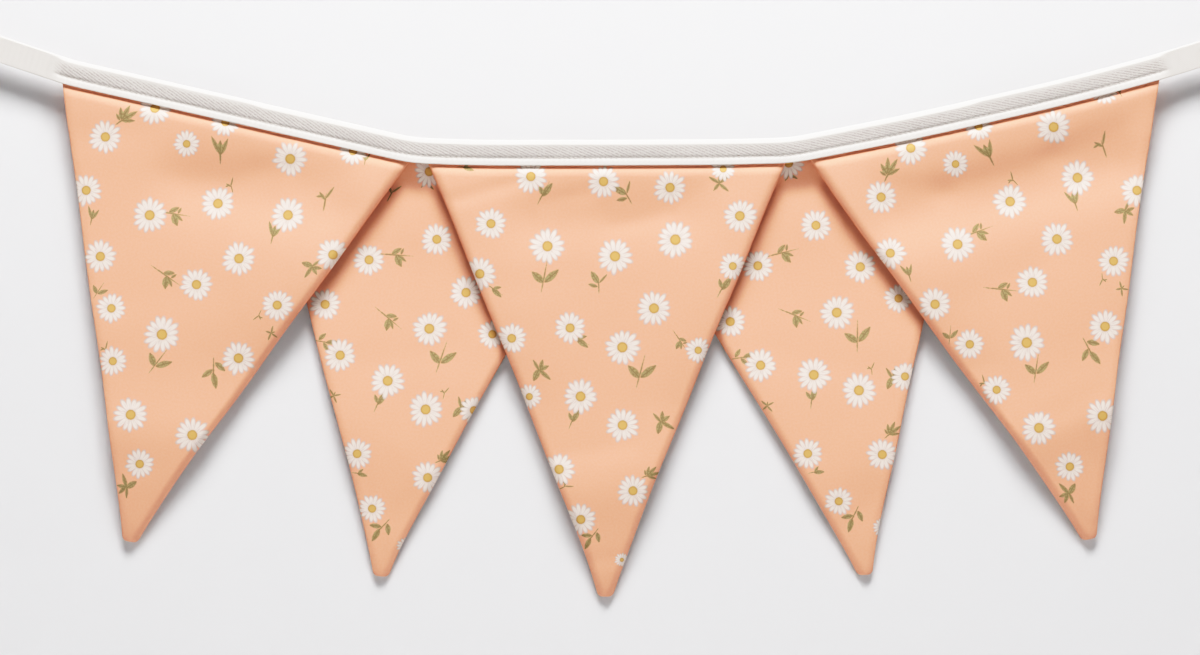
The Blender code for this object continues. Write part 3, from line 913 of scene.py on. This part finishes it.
# Each drawing is leaves and stems from a base point, in mm; angle is anticlockwise from the right
Leaf = namedtuple("Leaf", "base_x base_y angle_deg length_mm half_width_mm")
SPRIG_SHAPES = {
    "pair": (
        Leaf(-1.6, -7.6, 79, 16.0, 0.45), Leaf(-0.4, -2.8, 136, 7.6, 1.75), Leaf(0.0, -2.6, 42, 9.0, 1.7),
    ),
    "fork": (
        Leaf(0.2, -7.0, 92, 8.5, 0.45), Leaf(0.0, -1.4, 122, 7.8, 1.8),
        Leaf(0.3, -1.2, 48, 6.4, 0.75), Leaf(-0.6, -3.2, 164, 5.4, 1.1),
    ),
    "fan": (
        Leaf(0.0, -6.4, 88, 6.5, 0.5), Leaf(0.0, -2.4, 146, 6.4, 1.15), Leaf(0.0, -2.0, 114, 8.2, 1.3),
        Leaf(0.1, -2.0, 82, 8.8, 1.25), Leaf(0.2, -2.4, 52, 6.6, 1.05), Leaf(-0.4, -3.0, 172, 3.8, 0.8),
    ),
    "cross": (
        Leaf(0.0, 0.0, 148, 6.4, 0.95), Leaf(0.0, 0.0, 36, 6.2, 0.9), Leaf(0.2, 0.2, 232, 5.2, 0.95),
        Leaf(-0.2, 0.0, 320, 6.8, 0.95), Leaf(0.0, -0.4, 92, 4.0, 0.7),
    ),
    "clump": (
        Leaf(0.0, -0.4, 120, 6.8, 0.9), Leaf(0.3, -0.2, 76, 6.0, 1.2), Leaf(-0.3, 0.5, 246, 7.0, 1.7),
        Leaf(-0.4, 0.4, 318, 8.4, 1.2), Leaf(0.0, 0.0, 24, 5.4, 1.2),
    ),
    "branch": (
        Leaf(-9.5, -0.9, 4, 18.0, 0.45), Leaf(-2.2, 0.0, 38, 5.6, 1.3), Leaf(-0.2, -0.4, 304, 6.4, 1.7),
        Leaf(0.6, -0.2, 332, 5.4, 1.0), Leaf(2.2, 0.3, 74, 3.4, 0.8),
    ),
    "leafy": (
        Leaf(-7.0, -2.0, 12, 14.0, 0.45), Leaf(-4.4, -0.6, 62, 6.4, 1.5), Leaf(0.6, -0.6, 24, 8.2, 1.6),
        Leaf(-0.8, -1.0, 318, 6.8, 1.4),
    ),
    "spear": (
        Leaf(-0.6, -7.4, 86, 13.5, 0.45), Leaf(-0.1, -2.6, 76, 8.8, 1.75), Leaf(-0.4, -1.8, 128, 5.4, 1.15),
    ),
    "spray": (
        Leaf(0.4, -7.4, 97, 8.0, 0.5), Leaf(-0.2, -2.4, 122, 10.0, 1.15), Leaf(-0.1, -3.0, 96, 7.6, 1.5),
        Leaf(0.1, -2.6, 72, 8.8, 1.15),
    ),
    "twig": (
        Leaf(0.4, -6.6, 97, 9.5, 0.5), Leaf(-0.5, -0.4, 70, 7.6, 0.7), Leaf(-0.4, -0.8, 142, 5.0, 0.9),
        Leaf(-1.6, 0.8, 200, 4.0, 0.7),
    ),
}
SHAPE_SPAN = 40.0               # room between two drawings side by side in the sprig map
SPRIG_REACH = 15.0
DAISY_SPAN = 4.0                # room between two daisies side by side in the daisy map
DAISY_REACH = 1.6
DAISY_SORTS = 9
DAISY_TURN = 40                 # each daisy of a cut is turned this much further, in degrees
BLANK = (-60.0, 60.0)           # a place in both maps where nothing is drawn


def laid_motifs(name):
    """A pennant's daisies and sprigs in its own frame, after its cut is turned and shifted."""
    lay = LAYS[name]
    sine, cosine = math.sin(math.radians(lay.turn_deg)), math.cos(math.radians(lay.turn_deg))

    def moved(motif):
        x, y = motif.across_mm, motif.down_mm
        return (
            x * cosine + y * sine + lay.across_mm,
            y * cosine - x * sine + lay.down_mm,
        )

    daisies, sprigs = [], []
    for index, daisy in enumerate(DAISIES[lay.cut]):
        turn = math.radians(daisy.turn_deg + DAISY_TURN * index)
        daisies.append((*moved(daisy), daisy.width_mm / 2, turn))
    for sprig in SPRIGS[lay.cut]:
        turn = math.radians(sprig.turn_deg - lay.turn_deg)
        sprigs.append((*moved(sprig), sprig.size, turn, list(SPRIG_SHAPES).index(sprig.shape)))
    return daisies, sprigs


def nearest(motifs, x, y, sizes):
    """Index of the motif whose edge is nearest, and how far it is in its own sizes."""
    best, far = None, math.inf
    for index, motif in enumerate(motifs):
        gap = math.hypot(x - motif[0], y - motif[1]) / sizes[index]
        if gap < far:
            best, far = index, gap
    return best, far


def chart_print(piece, cloth, flats, across_count, around):
    """Two UV maps: where each corner lies in the nearest daisy, and in the nearest sprig."""
    daisies, sprigs = laid_motifs(cloth.name)
    daisy_sizes = [d[2] for d in daisies]
    sprig_sizes = [s[2] for s in sprigs]
    mesh = piece.data
    flower_layer = mesh.uv_layers.new(name="daisy_frame").data
    sprig_layer = mesh.uv_layers.new(name="sprig_frame").data
    cloth_layer = mesh.uv_layers.new(name="cloth").data
    for face in mesh.polygons:
        steps = [index % around for index in face.vertices]
        behind = sum(0 < s < across_count - 1 for s in steps) == 0
        corners = []
        for index in face.vertices:
            x, y = flats[index]
            corners.append((cloth.chord - x if behind else x, y))
        middle_x = sum(c[0] for c in corners) / len(corners)
        middle_y = sum(c[1] for c in corners) / len(corners)
        k, far = nearest(daisies, middle_x, middle_y, daisy_sizes)
        j, sprig_far = nearest(sprigs, middle_x, middle_y, sprig_sizes)
        for loop, (x, y) in zip(face.loop_indices, corners):
            cloth_layer[loop].uv = (x, y)
            flower_layer[loop].uv = BLANK
            sprig_layer[loop].uv = BLANK
            if far < DAISY_REACH:
                cx, cy, radius, turn = daisies[k]
                dx, dy = (x - cx) / radius, (cy - y) / radius
                u = dx * math.cos(turn) + dy * math.sin(turn)
                v = dy * math.cos(turn) - dx * math.sin(turn)
                flower_layer[loop].uv = (u + DAISY_SPAN * (k % DAISY_SORTS), v)
            if sprig_far < SPRIG_REACH:
                cx, cy, size, turn, shape = sprigs[j]
                dx, dy = (x - cx) / size, (cy - y) / size
                u = dx * math.cos(turn) - dy * math.sin(turn)
                v = dy * math.cos(turn) + dx * math.sin(turn)
                sprig_layer[loop].uv = (u + SHAPE_SPAN * shape, v)


PETALS = 15
PETAL_LONGEST = 1.08            # length of the longest petal, and how much shorter the others may be
PETAL_SHORTER = 0.16
PETAL_STRAY = 0.2               # how far a petal strays sideways, as a share of its room
PETAL_SHOULDER = 0.60           # share of its length at which a petal starts to round off
PETAL_ROUNDING = 2.5
PETAL_HALF_WIDTH = 0.142
PETAL_SOFT_EDGE = (1.35, 0.65)
CENTRE_EDGE = (0.37, 0.29)      # the gold centre ends between these radii
CENTRE_RIM_EDGE = (0.20, 0.32)
LEAF_SOFT_EDGE = (-0.25, 0.4)   # mm outside and inside a leaf's outline
VEIN_HALF_WIDTH = 0.45
COTTON_BUMP = 0.0001
PEACH = linear(248, 187, 160)
PEACH_DEEP = linear(246, 178, 150)
PETAL_WHITE = linear(245, 232, 223)
PETAL_SHADE = linear(212, 190, 182)
CENTRE_GOLD = linear(221, 182, 124)
CENTRE_RIM = linear(196, 152, 98)
LEAF_GREEN = linear(171, 163, 126)
LEAF_DARK = linear(126, 118, 84)


def build_daisy_group():
    """A daisy drawn about the origin with petals of length 1, one sort beside another along x."""
    group, wire, given, out = new_group(
        "printed daisy",
        (("Place", "NodeSocketVector", None),),
        (
            ("Petals", "NodeSocketFloat"),
            ("Petal shade", "NodeSocketFloat"),
            ("Centre", "NodeSocketFloat"),
            ("Centre rim", "NodeSocketFloat"),
        ),
    )
    u, y, _ = wire.split(given["Place"])
    sort = wire.math("FLOOR", wire.math("DIVIDE", wire.math("ADD", u, DAISY_SPAN / 2), DAISY_SPAN))
    x = wire.math("SUBTRACT", u, wire.math("MULTIPLY", sort, DAISY_SPAN))
    radius = wire.math("SQRT", wire.math("ADD", wire.math("MULTIPLY", x, x), wire.math("MULTIPLY", y, y)))
    turns = wire.math("MULTIPLY", wire.math("ARCTAN2", y, x), PETALS / (2 * math.pi))
    petal = wire.math("FLOOR", wire.math("ADD", turns, 0.5))
    off_axis = wire.math("SUBTRACT", turns, petal)
    chance = wire.add("ShaderNodeTexWhiteNoise", noise_dimensions="3D")
    wire.feed(chance.inputs["Vector"], wire.join(petal, sort))
    first, second, third = wire.split(chance.outputs["Color"])
    length = wire.math("MULTIPLY_ADD", first, -PETAL_SHORTER, PETAL_LONGEST)
    off_axis = wire.math("MULTIPLY_ADD", wire.math("SUBTRACT", second, 0.5), PETAL_STRAY, off_axis)
    angle = wire.math("MULTIPLY", off_axis, 2 * math.pi / PETALS)
    along = wire.math("MULTIPLY", radius, wire.math("COSINE", angle))
    aside = wire.math("ABSOLUTE", wire.math("MULTIPLY", radius, wire.math("SINE", angle)))
    shoulder = wire.math("MULTIPLY", length, PETAL_SHOULDER)
    past = wire.math("MAXIMUM", wire.math("SUBTRACT", along, shoulder), 0.0)
    past = wire.math("DIVIDE", past, wire.math("MULTIPLY", length, 1.0 - PETAL_SHOULDER))
    end = wire.math("POWER", past, PETAL_ROUNDING)
    base_share = wire.math("MINIMUM", wire.math("DIVIDE", along, shoulder), 1.0)
    half_width = wire.math("MULTIPLY_ADD", third, 0.03, PETAL_HALF_WIDTH)
    half_width = wire.math("MULTIPLY", half_width, wire.math("MULTIPLY_ADD", base_share, 0.5, 0.5))
    side = wire.math("DIVIDE", aside, half_width)
    fill = wire.math("ADD", end, wire.math("MULTIPLY", side, side))
    petals = wire.ramp(fill, *PETAL_SOFT_EDGE)
    wire.feed(out["Petals"], petals)
    streak = wire.add("ShaderNodeTexNoise", noise_dimensions="3D")
    around, outwards = wire.math("MULTIPLY", turns, 4.0), wire.math("MULTIPLY", radius, 1.6)
    wire.feed(streak.inputs["Vector"], wire.join(around, outwards, sort))
    streak.inputs["Scale"].default_value = 1.0
    streak.inputs["Detail"].default_value = 2.0
    rim_shade = wire.math("MULTIPLY", wire.ramp(fill, 0.15, 0.9), 0.85)
    streaks = wire.ramp(streak.outputs["Fac"], 0.5, 0.68)
    streaks = wire.math("MULTIPLY", streaks, wire.ramp(radius, 0.95, 0.45))
    heart = wire.math("MULTIPLY", wire.ramp(radius, 0.48, 0.28), 0.35)
    inner_shade = wire.math("MAXIMUM", wire.math("MULTIPLY", streaks, 0.7), heart)
    shade = wire.math("MAXIMUM", rim_shade, inner_shade)
    wire.feed(out["Petal shade"], shade)
    ragged = wire.math("MULTIPLY_ADD", streak.outputs["Fac"], 0.08, radius)
    wire.feed(out["Centre"], wire.ramp(ragged, *CENTRE_EDGE))
    wire.feed(out["Centre rim"], wire.math("MULTIPLY", wire.ramp(ragged, *CENTRE_RIM_EDGE), 0.8))
    return group


def build_leaf_group():
    """One printed leaf: pointed at both ends, with a dark middle vein."""
    group, wire, given, out = new_group(
        "printed leaf",
        (
            ("Place", "NodeSocketVector", None),
            ("Base X", "NodeSocketFloat", 0.0),
            ("Base Y", "NodeSocketFloat", 0.0),
            ("Direction X", "NodeSocketFloat", 1.0),
            ("Direction Y", "NodeSocketFloat", 0.0),
            ("Length", "NodeSocketFloat", 6.0),
            ("Half width", "NodeSocketFloat", 1.0),
        ),
        (("Leaf", "NodeSocketFloat"), ("Vein", "NodeSocketFloat")),
    )
    u, v, ragged = wire.split(given["Place"])
    x = wire.math("SUBTRACT", u, given["Base X"])
    y = wire.math("SUBTRACT", v, given["Base Y"])
    run_x, run_y = given["Direction X"], given["Direction Y"]
    along = wire.math("ADD", wire.math("MULTIPLY", x, run_x), wire.math("MULTIPLY", y, run_y))
    aside = wire.math("SUBTRACT", wire.math("MULTIPLY", y, run_x), wire.math("MULTIPLY", x, run_y))
    share = wire.math("DIVIDE", along, given["Length"], clamp=True)
    bulge = wire.math("SINE", wire.math("MULTIPLY", wire.math("POWER", share, 0.85), math.pi))
    bulge = wire.math("POWER", wire.math("MAXIMUM", bulge, 0.0), 0.75)
    before = wire.math("MULTIPLY", along, -1.0)
    after = wire.math("SUBTRACT", along, given["Length"])
    past = wire.math("MAXIMUM", wire.math("MAXIMUM", before, after), 0.0)
    from_middle = wire.math("ABSOLUTE", aside)
    off = wire.math("ADD", from_middle, wire.math("MULTIPLY", past, 3.0))
    room = wire.math("SUBTRACT", wire.math("MULTIPLY_ADD", bulge, given["Half width"], ragged), off)
    wire.feed(out["Leaf"], wire.ramp(room, *LEAF_SOFT_EDGE))
    vein = wire.ramp(from_middle, VEIN_HALF_WIDTH, 0.0)
    wire.feed(out["Vein"], wire.math("MULTIPLY", vein, wire.ramp(room, 0.0, 0.4)))
    return group


def build_sprig_group(leaf_group):
    """All the drawings of sprigs side by side along x."""
    group, wire, given, out = new_group(
        "printed sprig",
        (("Place", "NodeSocketVector", None),),
        (("Green", "NodeSocketFloat"), ("Vein", "NodeSocketFloat")),
    )
    noise = wire.add("ShaderNodeTexNoise")
    wire.feed(noise.inputs["Vector"], given["Place"])
    noise.inputs["Scale"].default_value = 0.8
    noise.inputs["Detail"].default_value = 2.0
    ragged = wire.math("MULTIPLY_ADD", noise.outputs["Fac"], 0.9, -0.45)
    u, v, _ = wire.split(given["Place"])
    place = wire.join(u, v, ragged)
    green, vein = 0.0, 0.0
    for index, leaves in enumerate(SPRIG_SHAPES.values()):
        for leaf in leaves:
            drawn = place_group(wire, leaf_group, Place=place, Length=leaf.length_mm)
            node = drawn[0].node
            node.inputs["Base X"].default_value = leaf.base_x + SHAPE_SPAN * index
            node.inputs["Base Y"].default_value = leaf.base_y
            node.inputs["Direction X"].default_value = math.cos(math.radians(leaf.angle_deg))
            node.inputs["Direction Y"].default_value = math.sin(math.radians(leaf.angle_deg))
            node.inputs["Half width"].default_value = leaf.half_width_mm
            green = wire.math("MAXIMUM", drawn["Leaf"], green)
            vein = wire.math("MAXIMUM", drawn["Vein"], vein)
    wire.feed(out["Green"], green)
    dark_patch = wire.math("MULTIPLY", wire.ramp(noise.outputs["Fac"], 0.56, 0.40), 0.8)
    wire.feed(out["Vein"], wire.math("MAXIMUM", vein, dark_patch))
    return group


def build_print_cotton():
    """Smooth peach cotton with daisies and sprigs printed on it."""
    material, shader, wire = new_material("daisy print cotton", 0.92)
    flat = wire.add("ShaderNodeUVMap", uv_map="cloth").outputs["UV"]
    daisy_frame = wire.add("ShaderNodeUVMap", uv_map="daisy_frame").outputs["UV"]
    sprig_frame = wire.add("ShaderNodeUVMap", uv_map="sprig_frame").outputs["UV"]
    weave = place_group(wire, WEAVE, Place=flat, Threads=2.4, Slant=0.0, Unevenness=0.25)
    sprig = place_group(wire, build_sprig_group(build_leaf_group()), Place=sprig_frame)
    daisy = place_group(wire, build_daisy_group(), Place=daisy_frame)
    ground = wire.mix(wire.math("MULTIPLY", wire.ramp(weave["Slub"], 0.35, 0.65), 0.4), PEACH, PEACH_DEEP)
    leaf = wire.mix(wire.math("MULTIPLY", sprig["Vein"], 0.75), LEAF_GREEN, LEAF_DARK)
    colour = wire.mix(wire.math("MULTIPLY", sprig["Green"], 0.9), ground, leaf)
    petal = wire.mix(daisy["Petal shade"], PETAL_WHITE, PETAL_SHADE)
    colour = wire.mix(wire.math("MULTIPLY", daisy["Petals"], 0.97), colour, petal)
    centre = wire.mix(daisy["Centre rim"], CENTRE_GOLD, CENTRE_RIM)
    colour = wire.mix(daisy["Centre"], colour, centre)
    wire.feed(shader.inputs["Base Color"], colour)
    bump = wire.add("ShaderNodeBump")
    bump.inputs["Strength"].default_value = 0.12
    bump.inputs["Distance"].default_value = COTTON_BUMP
    wire.feed(bump.inputs["Height"], weave["Height"])
    wire.feed(shader.inputs["Normal"], bump.outputs["Normal"])
    return material


PRINT_COTTON = build_print_cotton()
for pennant_name in PENNANTS:
    pennant, cloth, flats, across_count, around = build_pennant(pennant_name)
    chart_print(pennant, cloth, flats, across_count, around)
    pennant.data.materials.append(PRINT_COTTON)
    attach(pennant, "root")
    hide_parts(pennant_name)

# The room
# A plain wall behind the bunting takes its shadows, and a plain floor lies far below.
# Neither is part of the bunting. The light is soft and comes mostly from above.
CAMERA_LENS = 85.0
CAMERA_AWAY = 1.387
CAMERA_HEIGHT = -0.0918
WALL_BACK = 0.0084              # from the origin back to the wall at the height of the tape
WALL_LEAN = 0.0145              # metres forward for each metre down
WALL_HALF = 3.0
WALL_TOP = 2.2
FLOOR_DEPTH = -0.55
WALL_PAINT = linear(241, 241, 243)
FLOOR_PAINT = linear(232, 231, 230)
ROOM_GLOW = (1.0, 0.96, 0.93, 1.0)
ROOM_GLOW_STRENGTH = 0.03


def build_wall():
    """A plain painted wall that is see-through from behind."""
    outline = (
        (-WALL_HALF, FLOOR_DEPTH), (WALL_HALF, FLOOR_DEPTH), (WALL_HALF, WALL_TOP), (-WALL_HALF, WALL_TOP),
    )
    corners = [(x / MM, (WALL_BACK + WALL_LEAN * z) / MM, z / MM) for x, z in outline]
    wall = new_object("wall", corners, [(0, 1, 2, 3)])
    material, shader, wire = new_material("wall paint", 0.95)
    shader.inputs["Base Color"].default_value = WALL_PAINT
    clear = wire.add("ShaderNodeBsdfTransparent")
    geometry = wire.add("ShaderNodeNewGeometry")
    mixed = wire.add("ShaderNodeMixShader")
    wire.feed(mixed.inputs[0], geometry.outputs["Backfacing"])
    wire.feed(mixed.inputs[1], shader.outputs[0])
    wire.feed(mixed.inputs[2], clear.outputs[0])
    wire.feed(material.node_tree.nodes["Material Output"].inputs["Surface"], mixed.outputs[0])
    wall.data.materials.append(material)


def build_floor():
    """A plain pale floor."""
    level = FLOOR_DEPTH / MM
    half = WALL_HALF / MM
    corners = [(-half, -half, level), (half, -half, level), (half, half, level), (-half, half, level)]
    floor = new_object("floor", corners, [(0, 1, 2, 3)])
    material, shader, _ = new_material("floor paint", 0.9)
    shader.inputs["Base Color"].default_value = FLOOR_PAINT
    floor.data.materials.append(material)


# place and aim are in metres, power in watts
Lamp = namedtuple("Lamp", "name place aim width height power")
LAMPS = (
    Lamp("light above", (0.0, -0.75, 1.3), (0.0, 0.0, -0.08), 0.8, 0.45, 26.5),
    Lamp("light left", (-1.3, -0.85, 0.3), (-0.1, 0.0, -0.08), 0.4, 0.6, 0.6),
    Lamp("light right", (1.3, -0.85, 0.3), (0.1, 0.0, -0.08), 0.4, 0.6, 0.6),
    Lamp("light behind", (0.0, 1.6, 0.5), (0.0, 0.0, -0.08), 1.6, 1.2, 8.0),
)


def add_light(lamp):
    """A soft rectangular light that faces a point."""
    light = bpy.data.lights.new(lamp.name, "AREA")
    light.shape = "RECTANGLE"
    light.size, light.size_y = lamp.width, lamp.height
    light.energy = lamp.power
    stand = bpy.data.objects.new(lamp.name, light)
    bpy.context.scene.collection.objects.link(stand)
    stand.location = lamp.place
    away = stand.location - Vector(lamp.aim)
    stand.rotation_euler = away.to_track_quat("Z", "Y").to_euler()


build_wall()
build_floor()
for lamp in LAMPS:
    add_light(lamp)

world = bpy.data.worlds.new("soft room")
world.use_nodes = True
background = world.node_tree.nodes["Background"]
background.inputs["Color"].default_value = ROOM_GLOW
background.inputs["Strength"].default_value = ROOM_GLOW_STRENGTH
bpy.context.scene.world = world

# A camera's tone curve, which holds back the whites and deepens the shadows
ToneStep = namedtuple("ToneStep", "light shown")
TONE_CURVE = (
    ToneStep(0.06, 0.03), ToneStep(0.18, 0.20), ToneStep(0.38, 0.54), ToneStep(0.75, 0.905),
)
view = bpy.context.scene.view_settings
view.view_transform = "Standard"
view.use_curve_mapping = True
tone = view.curve_mapping.curves[3]
tone.points[1].location = (1.0, 0.98)
for step in TONE_CURVE:
    tone.points.new(step.light, step.shown)
view.curve_mapping.update()

camera_data = bpy.data.cameras.new("camera")
camera_data.lens = CAMERA_LENS
camera_data.clip_start = 0.05
camera_data.clip_end = 20.0
camera = bpy.data.objects.new("camera", camera_data)
camera.location = (0.0, -CAMERA_AWAY, CAMERA_HEIGHT)
camera.rotation_euler = (math.radians(90), 0.0, 0.0)
bpy.context.scene.collection.objects.link(camera)
bpy.context.scene.camera = camera
